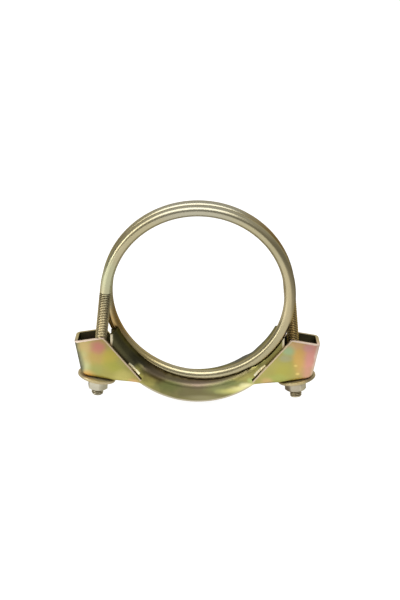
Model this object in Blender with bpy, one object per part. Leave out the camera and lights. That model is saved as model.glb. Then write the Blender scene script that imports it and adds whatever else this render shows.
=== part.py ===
"""Wire hose clamp: one bent rod, one stamped saddle, two washers and two nuts.

A single rod makes one and a half turns round the hose. Its two threaded ends come
down on either side and pass through the box ears of a stamped saddle, where a nut
and a washer on each end pull the saddle up and close the loop.

The origin is the centre of the loop, on the axis of the hose, which runs along Y.
"""

import math

import bmesh
import bpy
from mathutils import Matrix, Vector

MM = 0.001

# Rod
ROD_DIAMETER = 8.0 * MM
ROD_SIDES = 14
ROD_STEP = 5.0 * MM
ROD_END_CHAMFER = 0.6 * MM
LOOP_HALF_WIDTH = 63.2 * MM
LOOP_HALF_HEIGHT = 60.4 * MM
TURN_SPACING = 12.0 * MM
CROSSING_START = math.radians(20.0)
CROSSING_END = math.radians(160.0)

# Legs of the rod, as leans away from the vertical
LEG_LEAN_UPPER = math.radians(6.0)
LEG_LEAN_LOWER = math.radians(4.65)
LEG_BEND_TOP = -22.0 * MM
LEG_BEND_LENGTH = 10.0 * MM
LEG_DEPTH_LEAN = math.radians(4.55)
LEG_DEPTH_EASE = 11.0 * MM
LEG_BELOW_NUT = 4.7 * MM

# Saddle sheet
SHEET = 2.2 * MM
SADDLE_DEPTH = 21.0 * MM
CROWN_INSIDE_ROD = 0.6 * MM
CROWN_SLOPE = 0.26
CROWN_DROP_AT_MIDDLE = 1.2 * MM
CROWN_RISE_AT_SIDES = 1.1 * MM
CROWN_RISE_ANGLE = math.radians(45.0)
SHOULDER_RADIUS = 3.5 * MM
GROOVE_CLEARANCE = 0.5 * MM
GROOVE_LIP = 0.6 * MM
FLANGE_AT_MIDDLE = 16.6 * MM
FLANGE_AT_SLOT = 13.8 * MM
CROWN_STATIONS = 26
TONGUE_STATIONS = 16
CROWN_STEPS = 24
SHOULDER_STEPS = 4

# Tongues, which carry the crown up beside the legs
SLOT_ANGLE = math.radians(31.6)
SLOT_WIDTH = 1.6 * MM
SLOT_DEPTH = 10.0 * MM
TONGUE_DEPTH = 15.8 * MM
TONGUE_NARROWS = math.radians(9.0)
TONGUE_RISE = 33.8 * MM
TONGUE_END_HEIGHT = 12.5 * MM
TONGUE_LEG_GAP = 2.0 * MM

# Box ears
EAR_TIP_BELOW_TONGUE = 3.9 * MM
EAR_TIP_INSIDE_LEG = 1.7 * MM
EAR_TOP_DROP = math.radians(9.4)
EAR_TOP_LENGTH = 20.5 * MM
EAR_WALL_LEAN = math.radians(11.0)
EAR_HEIGHT = 24.6 * MM
EAR_NECK_LENGTH = 17.0 * MM
EAR_NECK_RISE = 1.0 * MM
EAR_TIP_RADIUS = 2.0 * MM
EAR_CORNER_RADIUS = 6.0 * MM
EAR_WALL_BEND = 3.2 * MM
EAR_FLOOR_BEND = 2.4 * MM
EAR_OVERLAP = 3.0 * MM
BEND_STEPS = 4
CORNER_STEPS = 6
LEG_HOLE_LENGTH = 14.0 * MM
LEG_HOLE_WIDTH = 12.0 * MM

# Washers
WASHER_DIAMETER = 27.0 * MM
WASHER_BORE = 11.2 * MM
WASHER_THICKNESS = 2.1 * MM
WASHER_EDGE = 0.35 * MM
WASHER_TILT = math.radians(12.0)
WASHER_OFFSET = 1.1 * MM
LEFT_WASHER_DROP = 0.8 * MM
RIGHT_WASHER_DROP = 0.9 * MM
TURNED_STEPS = 40

# Nuts
NUT_ACROSS_FLATS = 13.0 * MM
NUT_HEIGHT = 6.5 * MM
NUT_CLEARANCE = 0.3 * MM
NUT_CHAMFER = math.radians(28.0)
LEFT_NUT_TURN = math.radians(10.0)
RIGHT_NUT_TURN = math.radians(30.0)
SEAT_GAP = 0.3 * MM

SIDES = {"left": -1.0, "right": 1.0}
WASHER_DROPS = {"left": LEFT_WASHER_DROP, "right": RIGHT_WASHER_DROP}
NUT_TURNS = {"left": LEFT_NUT_TURN, "right": RIGHT_NUT_TURN}


def clear_scene():
    for obj in list(bpy.data.objects):
        bpy.data.objects.remove(obj)


def finish(name, colour, roughness, metallic=1.0):
    """A Principled material with one colour."""
    material = bpy.data.materials.new(name)
    material.use_nodes = True
    shader = material.node_tree.nodes["Principled BSDF"]
    shader.inputs["Base Color"].default_value = (*colour, 1.0)
    shader.inputs["Roughness"].default_value = roughness
    shader.inputs["Metallic"].default_value = metallic
    return material


def add_object(name, mesh, material=None, smooth_angle=None):
    if smooth_angle is not None:
        mesh.shade_smooth()
        mesh.set_sharp_from_angle(angle=smooth_angle)
    obj = bpy.data.objects.new(name, mesh)
    if material:
        mesh.materials.append(material)
    bpy.context.scene.collection.objects.link(obj)
    return obj


def add_cutter(name, mesh):
    """An object that only shapes another one."""
    obj = add_object(name, mesh)
    obj.hide_render = True
    obj.display_type = "WIRE"
    return obj


def combine(obj, other, operation):
    boolean = obj.modifiers.new(f"{operation.lower()} {other.name}", "BOOLEAN")
    boolean.operation = operation
    boolean.solver = "EXACT"
    boolean.object = other


def mesh_from(name, vertices, faces):
    """A mesh whose faces all point outwards."""
    mesh = bpy.data.meshes.new(name)
    mesh.from_pydata([tuple(v) for v in vertices], [], faces)
    body = bmesh.new()
    body.from_mesh(mesh)
    bmesh.ops.recalc_face_normals(body, faces=body.faces)
    body.to_mesh(mesh)
    body.free()
    return mesh


def loft(name, rings, strip_caps=False):
    """A closed solid through rings of equal length.

    With strip_caps each ring is an outer run of points followed by the inner run
    backwards, and its ends are closed by a strip between the two runs.
    """
    count = len(rings[0])
    vertices = [point for ring in rings for point in ring]
    faces = []
    for r in range(len(rings) - 1):
        low, high = r * count, (r + 1) * count
        for i in range(count):
            j = (i + 1) % count
            faces.append((low + i, low + j, high + j, high + i))
    for base in (0, (len(rings) - 1) * count):
        if strip_caps:
            for i in range(count // 2 - 1):
                back = count - 1 - i
                faces.append((base + i, base + i + 1, base + back - 1, base + back))
        else:
            faces.append(tuple(range(base, base + count)))
    return mesh_from(name, vertices, faces)


def closed_rings(name, rings):
    """A ring-shaped solid whose last section joins its first."""
    count = len(rings[0])
    vertices = [point for ring in rings for point in ring]
    faces = []
    for s in range(len(rings)):
        here, there = s * count, (s + 1) % len(rings) * count
        for i in range(count):
            j = (i + 1) % count
            faces.append((here + i, here + j, there + j, there + i))
    return mesh_from(name, vertices, faces)


def smooth_step(t):
    t = min(max(t, 0.0), 1.0)
    return t * t * (3.0 - 2.0 * t)


def eased_run(t):
    """Area under smooth_step from 0 to t, which eases a slope in."""
    if t <= 0.0:
        return 0.0
    if t >= 1.0:
        return t - 0.5
    return t ** 3 - 0.5 * t ** 4


# Rod path

def turn_depth(angle):
    """Depth of the rod at an angle below the horizontal, measured from the right."""
    share = smooth_step((angle - CROSSING_START) / (CROSSING_END - CROSSING_START))
    return TURN_SPACING * (share - 0.5)


def loop_point(angle):
    """Middle of the rod at an angle below the horizontal, measured from the right."""
    return Vector((
        LOOP_HALF_WIDTH * math.cos(angle),
        turn_depth(angle),
        -LOOP_HALF_HEIGHT * math.sin(angle),
    ))


def leg_start_angle():
    """Angle above the horizontal at which a leg leaves the loop along its tangent."""
    return math.atan(LOOP_HALF_HEIGHT / LOOP_HALF_WIDTH * math.tan(LEG_LEAN_UPPER))


def leg_point(height, side):
    """Middle of the rod on one leg; the left leg is in front and the right one behind."""
    start = leg_start_angle()
    top = LOOP_HALF_HEIGHT * math.sin(start)
    out = LOOP_HALF_WIDTH * math.cos(start) + math.tan(LEG_LEAN_UPPER) * (top - height)
    more_lean = math.tan(LEG_LEAN_LOWER) - math.tan(LEG_LEAN_UPPER)
    out += more_lean * LEG_BEND_LENGTH * eased_run((LEG_BEND_TOP - height) / LEG_BEND_LENGTH)
    depth = TURN_SPACING / 2
    depth -= math.tan(LEG_DEPTH_LEAN) * LEG_DEPTH_EASE * eased_run((top - height) / LEG_DEPTH_EASE)
    return Vector((side * out, side * depth, height))


def leg_direction(side):
    """Unit vector up the straight lower part of a leg."""
    low = leg_point(-LOOP_HALF_HEIGHT - LEG_BEND_LENGTH, side)
    high = leg_point(-LOOP_HALF_HEIGHT, side)
    return (high - low).normalized()


def leg_end():
    """Height of the rod's ends, a little below the lower of the two nuts."""
    lowest = min(washer_height(word) - nut_drop(SIDES[word]) for word in SIDES)
    return lowest - NUT_HEIGHT / 2 - LEG_BELOW_NUT


def rod_path():
    """Middle of the rod from the left end, round the loop, to the right end."""
    start = leg_start_angle()
    top = LOOP_HALF_HEIGHT * math.sin(start)
    end = leg_end()
    leg_steps = max(2, round((top - end) / ROD_STEP))
    heights = [end + (top - end) * i / leg_steps for i in range(leg_steps)]
    left = [leg_point(height, -1.0) for height in heights]
    right = [leg_point(height, 1.0) for height in reversed(heights)]
    first, last = start - math.pi, 2.0 * math.pi - start
    radius = (LOOP_HALF_WIDTH + LOOP_HALF_HEIGHT) / 2
    turns = max(24, round((last - first) * radius / ROD_STEP))
    loop = [loop_point(first + (last - first) * i / turns) for i in range(turns + 1)]
    return left + loop + right


def tangents(points):
    result = []
    for i in range(len(points)):
        before = points[max(i - 1, 0)]
        after = points[min(i + 1, len(points) - 1)]
        result.append((after - before).normalized())
    return result


def rod_mesh(name):
    """The rod swept along its path, with chamfered ends."""
    points = rod_path()
    along = tangents(points)
    radius = ROD_DIAMETER / 2
    start, end = points[0], points[-1]
    points[0] = start + along[0] * ROD_END_CHAMFER
    points[-1] = end - along[-1] * ROD_END_CHAMFER
    stations = [(start, along[0], radius - ROD_END_CHAMFER)]
    stations += [(point, way, radius) for point, way in zip(points, along)]
    stations.append((end, along[-1], radius - ROD_END_CHAMFER))
    rings = []
    for point, way, size in stations:
        sideways = Vector((0.0, 1.0, 0.0))
        sideways = (sideways - way * sideways.dot(way)).normalized()
        upward = way.cross(sideways)
        ring = []
        for i in range(ROD_SIDES):
            turn = 2.0 * math.pi * (i + 0.5) / ROD_SIDES
            ring.append(point + size * (math.cos(turn) * sideways + math.sin(turn) * upward))
        rings.append(ring)
    return loft(name, rings)


# Saddle crown, worked out in the plane of the loop at angles from its lowest point

def crown_point(angle):
    """Point of the crown's hose side and the outward normal there, as (x, z) pairs."""
    wide = LOOP_HALF_WIDTH - CROWN_INSIDE_ROD
    high = LOOP_HALF_HEIGHT - CROWN_INSIDE_ROD
    point = Vector((wide * math.sin(angle), -high * math.cos(angle)))
    normal = Vector((math.sin(angle) / wide, -math.cos(angle) / high)).normalized()
    return point, normal


def rim_depth(angle):
    """Height of the flange, which shrinks from the middle towards the slots."""
    share = (angle / SLOT_ANGLE) ** 2
    return FLANGE_AT_MIDDLE + (FLANGE_AT_SLOT - FLANGE_AT_MIDDLE) * share


def slot_root():
    """Inner end of the slot between the tongue and the ear."""
    point, normal = crown_point(SLOT_ANGLE)
    return point + normal * SLOT_DEPTH


def tongue_top():
    return -(LOOP_HALF_HEIGHT - CROWN_INSIDE_ROD) + TONGUE_RISE


def tongue_reach():
    """How far sideways the tongue comes, just short of the leg."""
    return leg_point(tongue_top(), 1.0).x - ROD_DIAMETER / 2 - TONGUE_LEG_GAP


def tongue_depth(angle):
    """Distance from the crown out to the straight lower edge of the tongue."""
    point, normal = crown_point(angle)
    root = slot_root()
    edge = Vector((tongue_reach(), tongue_top() - TONGUE_END_HEIGHT)) - root
    across = Vector((-edge.y, edge.x))
    return (root - point).dot(across) / normal.dot(across)


def crown_end_angle():
    return math.acos(-tongue_top() / (LOOP_HALF_HEIGHT - CROWN_INSIDE_ROD))


def half_depth(angle):
    """Half of the channel's depth, which shrinks where the tongue enters the ear."""
    share = smooth_step((abs(angle) - SLOT_ANGLE) / TONGUE_NARROWS)
    return SADDLE_DEPTH / 2 + (TONGUE_DEPTH - SADDLE_DEPTH) / 2 * share


def groove_floor(offset, radius):
    """Height of the groove's surface beside the middle of the rod, or None outside it.

    Past the radius the groove keeps a narrow level lip, so that its wall clears the rod.
    """
    if abs(offset) >= radius + GROOVE_LIP:
        return None
    return -CROWN_INSIDE_ROD - math.sqrt(max(0.0, radius * radius - offset * offset))


def crown_lift(angle, y):
    """Height of the crown above its plain curve: low in front, high behind and at the sides."""
    share = min(1.0, (angle / CROWN_RISE_ANGLE) ** 2)
    rise = CROWN_RISE_AT_SIDES + CROWN_DROP_AT_MIDDLE
    return CROWN_SLOPE * y + rise * share - CROWN_DROP_AT_MIDDLE


def channel_section(angle, depth, rod_offset):
    """Outer and inner runs of the channel's section, as (y, height) pairs."""
    half = half_depth(angle)
    groove = ROD_DIAMETER / 2 + GROOVE_CLEARANCE
    runs = []
    for skin in (0.0, SHEET):
        bend = SHOULDER_RADIUS - skin
        inner = half - SHOULDER_RADIUS
        run = [(-half + skin, -depth)]
        for i in range(SHOULDER_STEPS + 1):
            turn = math.pi / 2 * i / SHOULDER_STEPS
            run.append((-inner - bend * math.cos(turn), -SHOULDER_RADIUS + bend * math.sin(turn)))
        for i in range(1, CROWN_STEPS):
            run.append((-inner + 2.0 * inner * i / CROWN_STEPS, -skin))
        for i in range(SHOULDER_STEPS + 1):
            turn = math.pi / 2 * (1.0 - i / SHOULDER_STEPS)
            run.append((inner + bend * math.cos(turn), -SHOULDER_RADIUS + bend * math.sin(turn)))
        run.append((half - skin, -depth))
        pressed = [run[0]]
        for y, flat_height in run[1:-1]:
            height = flat_height + crown_lift(angle, y)
            floor = groove_floor(y - rod_offset, groove + skin)
            pressed.append((y, height if floor is None else min(height, floor)))
        pressed.append(run[-1])
        runs.append(pressed)
    return runs


def channel_stations():
    """Angles and flange depths along the channel, from its left end to its right."""
    end = crown_end_angle()
    step_width = math.radians(0.3)
    right = []
    for i in range(TONGUE_STATIONS + 1):
        angle = SLOT_ANGLE + step_width + (end - SLOT_ANGLE - step_width) * i / TONGUE_STATIONS
        right.append((angle, tongue_depth(angle)))
    middle = []
    for i in range(CROWN_STATIONS + 1):
        angle = SLOT_ANGLE * (2.0 * i / CROWN_STATIONS - 1.0)
        middle.append((angle, rim_depth(angle)))
    left = [(-angle, depth) for angle, depth in reversed(right)]
    return left + middle + right


def channel_mesh(name):
    """The crown with its groove, shoulders and flanges, and the two tongues."""
    rings = []
    for angle, depth in channel_stations():
        point, normal = crown_point(angle)
        rod_offset = turn_depth(math.pi / 2 - angle)
        outer, inner = channel_section(angle, depth, rod_offset)
        ring = []
        for y, height in outer + inner[::-1]:
            place = point - normal * height
            ring.append(Vector((place.x, y, place.y)))
        rings.append(ring)
    return loft(name, rings, strip_caps=True)


# Box ears, worked out for the right side

def crossing(point_a, way_a, point_b, way_b):
    """Where two lines in the plane meet."""
    across = Vector((-way_b.y, way_b.x))
    return point_a + way_a * ((point_b - point_a).dot(across) / way_a.dot(across))


def rounded(before, corner, after, radius, steps):
    """Points of a round corner between two straight edges."""
    way_in = (before - corner).normalized()
    way_out = (after - corner).normalized()
    half = way_in.angle(way_out) / 2
    reach = radius / math.tan(half)
    centre = corner + (way_in + way_out).normalized() * radius / math.sin(half)
    first = corner + way_in * reach - centre
    last = corner + way_out * reach - centre
    sweep = math.atan2(first.x * last.y - first.y * last.x, first.dot(last))
    points = []
    for i in range(steps + 1):
        turn = Matrix.Rotation(sweep * i / steps, 2)
        points.append(centre + turn @ first)
    return points


def slot_ends():
    """Where the slot ends on the ear's side, and where the rim meets the ear."""
    point, normal = crown_point(SLOT_ANGLE)
    return point + normal * (SLOT_DEPTH + SLOT_WIDTH), point + normal * rim_depth(SLOT_ANGLE)


def ear_lines():
    """The ear's corners: tip beside the leg, shoulder, heel and the knee of its floor."""
    tip_height = tongue_top() - EAR_TIP_BELOW_TONGUE
    tip = Vector((leg_point(tip_height, 1.0).x - EAR_TIP_INSIDE_LEG, tip_height))
    top_way = Vector((math.cos(EAR_TOP_DROP), -math.sin(EAR_TOP_DROP)))
    shoulder = tip + top_way * EAR_TOP_LENGTH
    wall_way = Vector((-math.sin(EAR_WALL_LEAN), -math.cos(EAR_WALL_LEAN)))
    heel = shoulder + wall_way * EAR_HEIGHT / math.cos(EAR_WALL_LEAN)
    rim_end = slot_ends()[1]
    knee = rim_end + Vector((EAR_NECK_LENGTH, EAR_NECK_RISE))
    return tip, shoulder, heel, knee


def floor_height(across):
    """Height of the underside of the ear's floor at a distance from the middle."""
    tip, shoulder, heel, knee = ear_lines()
    return knee.y + (heel.y - knee.y) * (across - knee.x) / (heel.x - knee.x)


def ear_outline(wall_inset, floor_inset):
    """The ear's outline with its wall and floor moved inwards."""
    tip, shoulder, heel, knee = ear_lines()
    top_way = (shoulder - tip).normalized()
    wall_way = (heel - shoulder).normalized()
    floor_way = (knee - heel).normalized()
    wall_in = Vector((wall_way.y, -wall_way.x)) * wall_inset
    floor_in = Vector((floor_way.y, -floor_way.x)) * floor_inset
    new_shoulder = crossing(tip, top_way, shoulder + wall_in, wall_way)
    new_heel = crossing(shoulder + wall_in, wall_way, heel + floor_in, floor_way)
    new_knee = knee + Vector((0.0, floor_inset))
    slot_end, rim_end = slot_ends()
    inward = (rim_end - knee).normalized() * EAR_OVERLAP
    outline = rounded(slot_end, tip, shoulder, EAR_TIP_RADIUS, BEND_STEPS)
    outline.append(new_shoulder)
    corner_radius = EAR_CORNER_RADIUS - max(wall_inset, floor_inset)
    outline += rounded(new_shoulder, new_heel, new_knee, corner_radius, CORNER_STEPS)
    outline += [new_knee, rim_end, rim_end + inward, slot_end + inward, slot_end]
    return outline


def ear_cavity_outline(wall_inset, floor_inset):
    """Outline of the ear's inside, open at the top; its floor runs in under the slot."""
    tip, shoulder, heel, knee = ear_lines()
    wall_way = (heel - shoulder).normalized()
    floor_way = (knee - heel).normalized()
    wall_in = Vector((wall_way.y, -wall_way.x)) * (SHEET + wall_inset)
    floor_in = Vector((floor_way.y, -floor_way.x)) * (SHEET + floor_inset)
    new_heel = crossing(shoulder + wall_in, wall_way, heel + floor_in, floor_way)
    rim_end = slot_ends()[1]
    rise = Vector((0.0, SHEET + floor_inset))
    new_knee = knee + rise
    floor_end = rim_end + (rim_end - knee).normalized() * EAR_OVERLAP + rise
    over = EAR_HEIGHT
    above = shoulder + wall_in - wall_way * over
    inside = Vector((floor_end.x / 2, above.y))
    below = knee.y - over
    radius = EAR_CORNER_RADIUS - SHEET - max(wall_inset, floor_inset)
    outline = [inside, above]
    outline += rounded(above, new_heel, new_knee, radius, CORNER_STEPS)
    outline += [new_knee, floor_end, Vector((floor_end.x, below)), Vector((inside.x, below))]
    return outline


def bent_block(name, outline, half, wall_bend, floor_bend, side):
    """An outline carried across the depth, with its wall and floor edges rounded."""
    largest = max(wall_bend, floor_bend)
    layers = []
    for i in range(BEND_STEPS + 1):
        layers.append(half - largest + largest * math.sin(math.pi / 2 * i / BEND_STEPS))
    rings = []
    for y in [-layer for layer in reversed(layers)] + layers:
        insets = []
        for bend in (wall_bend, floor_bend):
            past = max(0.0, abs(y) - (half - bend))
            insets.append(bend - math.sqrt(max(0.0, bend * bend - past * past)))
        rings.append([Vector((side * p.x, y, p.y)) for p in outline(*insets)])
    return loft(name, rings)


def leg_hole_mesh(name, side):
    """A long round-ended prism that cuts the ear's floor round the leg."""
    tip, shoulder, heel, knee = ear_lines()
    floor_way = (heel - knee).normalized()
    floor_normal = Vector((-floor_way.y, floor_way.x))
    leg = leg_point((heel.y + knee.y) / 2, 1.0)
    middle = crossing(Vector((leg.x, leg.z)), floor_normal, knee, floor_way)
    radius = LEG_HOLE_WIDTH / 2
    straight = LEG_HOLE_LENGTH / 2 - radius
    steps = 20
    rings = []
    for reach in (-2.0 * SHEET, 2.0 * SHEET):
        ring = []
        for i in range(steps):
            turn = 2.0 * math.pi * (i + 0.5) / steps
            along = radius * math.cos(turn) + math.copysign(straight, math.cos(turn))
            place = middle + floor_way * along + floor_normal * reach
            ring.append(Vector((side * place.x, radius * math.sin(turn), place.y)))
        rings.append(ring)
    return loft(name, rings)


def box_mesh(name, low, high):
    corners = [(low.x, low.y), (high.x, low.y), (high.x, high.y), (low.x, high.y)]
    rings = [[Vector((x, y, z)) for x, y in corners] for z in (low.z, high.z)]
    return loft(name, rings)


def make_saddle(material):
    """The stamped saddle: grooved channel, tongues cut to length and two ears."""
    saddle = add_object("saddle", channel_mesh("saddle"), material, math.radians(30.0))
    inner_bend = 0.3 * MM
    for word, side in SIDES.items():
        ear = add_cutter(
            f"ear_form_{word}",
            bent_block(f"ear_form_{word}", ear_outline, SADDLE_DEPTH / 2,
                       EAR_WALL_BEND, EAR_FLOOR_BEND, side))
        cavity = add_cutter(
            f"ear_inside_{word}",
            bent_block(f"ear_inside_{word}", ear_cavity_outline, SADDLE_DEPTH / 2 - SHEET,
                       max(EAR_WALL_BEND - SHEET, inner_bend),
                       max(EAR_FLOOR_BEND - SHEET, inner_bend), side))
        combine(ear, cavity, "DIFFERENCE")
        combine(saddle, ear, "UNION")
        hole = add_cutter(f"leg_hole_{word}", leg_hole_mesh(f"leg_hole_{word}", side))
        combine(saddle, hole, "DIFFERENCE")
        ends = sorted((side * tongue_reach(), side * (tongue_reach() + EAR_NECK_LENGTH)))
        trim_half = TONGUE_DEPTH / 2 + SEAT_GAP / 2
        low = Vector((ends[0], -trim_half, tongue_top() - TONGUE_END_HEIGHT - SHOULDER_RADIUS))
        high = Vector((ends[1], trim_half, 0.0))
        trim = add_cutter(f"tongue_trim_{word}", box_mesh(f"tongue_trim_{word}", low, high))
        combine(saddle, trim, "DIFFERENCE")
    return saddle


# Washers and nuts

def washer_height(word):
    """Height of a washer's middle, on its leg and a little under the ear's floor."""
    under = WASHER_DROPS[word] + WASHER_THICKNESS / 2
    height = floor_height(leg_point(-LOOP_HALF_HEIGHT, 1.0).x)
    return floor_height(leg_point(height, 1.0).x) - under


def washer_middle(word, side):
    """Middle of a washer, which hangs a little outwards on its leg."""
    outwards = Vector((0.0, side, 0.0)).cross(washer_up(side))
    return leg_point(washer_height(word), side) + outwards * WASHER_OFFSET


def washer_up(side):
    """Unit vector square to the washer, which lies parallel to the ear's floor."""
    return Vector((-side * math.sin(WASHER_TILT), 0.0, math.cos(WASHER_TILT)))


def nut_drop(side):
    """Distance along the leg from the washer's middle to the nut's."""
    slant = leg_direction(side).angle(washer_up(side))
    reach = NUT_ACROSS_FLATS / 2 * math.tan(slant)
    return WASHER_THICKNESS / 2 / math.cos(slant) + reach + SEAT_GAP + NUT_HEIGHT / 2


def turned_mesh(name, profile, steps=TURNED_STEPS):
    """A ring turned round Z from a closed (radius, height) profile."""
    rings = []
    for i in range(steps):
        turn = 2.0 * math.pi * i / steps
        rings.append([Vector((r * math.cos(turn), r * math.sin(turn), z)) for r, z in profile])
    return closed_rings(name, rings)


def washer_mesh(name):
    half = WASHER_THICKNESS / 2
    outside, bore = WASHER_DIAMETER / 2, WASHER_BORE / 2
    profile = [
        (bore, -half),
        (outside - WASHER_EDGE, -half),
        (outside, -half + WASHER_EDGE),
        (outside, half - WASHER_EDGE),
        (outside - WASHER_EDGE, half),
        (bore, half),
    ]
    return turned_mesh(name, profile)


def nut_mesh(name):
    """A hexagon with its corners chamfered at both ends and a plain bore."""
    half = NUT_HEIGHT / 2
    flat = NUT_ACROSS_FLATS / 2
    corner = flat / math.cos(math.pi / 6)
    bore = ROD_DIAMETER / 2 + NUT_CLEARANCE
    drop = (corner - flat) * math.tan(NUT_CHAMFER)
    steps_per_side = 6
    outer = []
    for i in range(6 * steps_per_side):
        turn = 2.0 * math.pi * i / (6 * steps_per_side)
        sector = (turn + math.pi / 6) % (math.pi / 3) - math.pi / 6
        reach = flat / math.cos(sector)
        outer.append((turn, reach, (reach - flat) / (corner - flat) * drop))
    rings = []
    for turn, reach, fall in outer:
        way = Vector((math.cos(turn), math.sin(turn), 0.0))
        seat = flat - WASHER_EDGE / 2
        rings.append([
            way * bore + Vector((0.0, 0.0, -half)),
            way * seat + Vector((0.0, 0.0, -half)),
            way * reach + Vector((0.0, 0.0, -half + fall + WASHER_EDGE / 2)),
            way * reach + Vector((0.0, 0.0, half - fall - WASHER_EDGE / 2)),
            way * seat + Vector((0.0, 0.0, half)),
            way * bore + Vector((0.0, 0.0, half)),
        ])
    return closed_rings(name, rings)


def frame_at(point, up):
    """A placement with its Z along up and its Y as near the hose axis as it can be."""
    depth = Vector((0.0, 1.0, 0.0))
    depth = (depth - up * depth.dot(up)).normalized()
    sideways = depth.cross(up)
    turned = Matrix((sideways, depth, up)).transposed().to_4x4()
    return Matrix.Translation(point) @ turned


def make_end_fittings(word, side, rod, washer_finish, nut_finish):
    """The washer and nut of one leg, on an axis that runs up the leg."""
    up = leg_direction(side)
    axis = bpy.data.objects.new(f"leg_axis_{word}", None)
    bpy.context.scene.collection.objects.link(axis)
    axis_frame = frame_at(leg_point(washer_height(word), side), up)
    axis.parent = rod
    axis.matrix_local = axis_frame

    washer = add_object(f"washer_{word}", washer_mesh(f"washer_{word}"), washer_finish,
                        math.radians(30.0))
    washer.parent = axis
    resting = frame_at(washer_middle(word, side), washer_up(side))
    washer.matrix_local = axis_frame.inverted() @ resting

    nut = add_object(f"nut_{word}", nut_mesh(f"nut_{word}"), nut_finish, math.radians(30.0))
    nut.parent = axis
    nut.location = (0.0, 0.0, -nut_drop(side))
    nut.rotation_euler = (0.0, 0.0, NUT_TURNS[word])


def build():
    clear_scene()
    rod_finish = finish("zinc plated rod", (0.52, 0.50, 0.36), 0.28)
    sheet_finish = finish("yellow zinc sheet", (0.62, 0.50, 0.26), 0.30)
    washer_finish = finish("yellow zinc washer", (0.60, 0.46, 0.22), 0.32)
    nut_finish = finish("pale zinc nut", (0.66, 0.63, 0.52), 0.30)
    rod = add_object("wire_loop", rod_mesh("wire_loop"), rod_finish, math.radians(35.0))
    saddle = make_saddle(sheet_finish)
    saddle.parent = rod
    for word, side in SIDES.items():
        make_end_fittings(word, side, rod, washer_finish, nut_finish)


build()
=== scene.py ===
"""Looks of the wire hose clamp: its finishes, the threaded rod, and the studio."""

import logging
import math
from dataclasses import dataclass, field
from enum import Enum
from typing import Optional, Sequence

import bmesh
import bpy
from mathutils import Matrix, Vector

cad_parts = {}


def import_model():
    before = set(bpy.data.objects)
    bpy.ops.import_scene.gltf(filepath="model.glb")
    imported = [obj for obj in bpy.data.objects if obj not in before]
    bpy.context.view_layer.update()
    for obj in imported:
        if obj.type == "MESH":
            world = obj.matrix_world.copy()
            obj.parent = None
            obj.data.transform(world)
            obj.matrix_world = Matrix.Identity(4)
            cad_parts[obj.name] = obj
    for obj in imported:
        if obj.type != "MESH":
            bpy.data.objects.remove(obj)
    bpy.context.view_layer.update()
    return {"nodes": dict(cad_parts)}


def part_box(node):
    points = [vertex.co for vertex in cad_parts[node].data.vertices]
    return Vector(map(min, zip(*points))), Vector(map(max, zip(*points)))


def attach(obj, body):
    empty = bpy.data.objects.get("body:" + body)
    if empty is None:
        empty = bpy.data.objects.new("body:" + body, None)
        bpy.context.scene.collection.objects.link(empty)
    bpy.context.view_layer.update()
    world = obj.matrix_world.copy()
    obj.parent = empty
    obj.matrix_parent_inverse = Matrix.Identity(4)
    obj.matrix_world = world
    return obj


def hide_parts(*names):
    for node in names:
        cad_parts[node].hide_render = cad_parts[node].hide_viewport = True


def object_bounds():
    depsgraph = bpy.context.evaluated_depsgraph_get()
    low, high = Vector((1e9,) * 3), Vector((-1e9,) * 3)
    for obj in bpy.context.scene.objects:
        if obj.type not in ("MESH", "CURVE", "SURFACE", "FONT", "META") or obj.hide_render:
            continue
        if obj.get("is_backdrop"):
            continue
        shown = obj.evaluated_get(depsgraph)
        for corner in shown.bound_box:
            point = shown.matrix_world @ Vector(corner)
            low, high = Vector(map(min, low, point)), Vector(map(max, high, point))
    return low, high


LOG = logging.getLogger("hose_clamp")
MM = 0.001

Colour = tuple[float, float, float]


class Side(Enum):
    """The two ends of the clamp, as the sign of X."""

    LEFT = -1.0
    RIGHT = 1.0


# Node trees

NUMBER_RESULTS = ("LENGTH", "DISTANCE", "DOT_PRODUCT")
MIX_INPUTS = (0, 6, 7)
MIX_RESULT = 2


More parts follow.
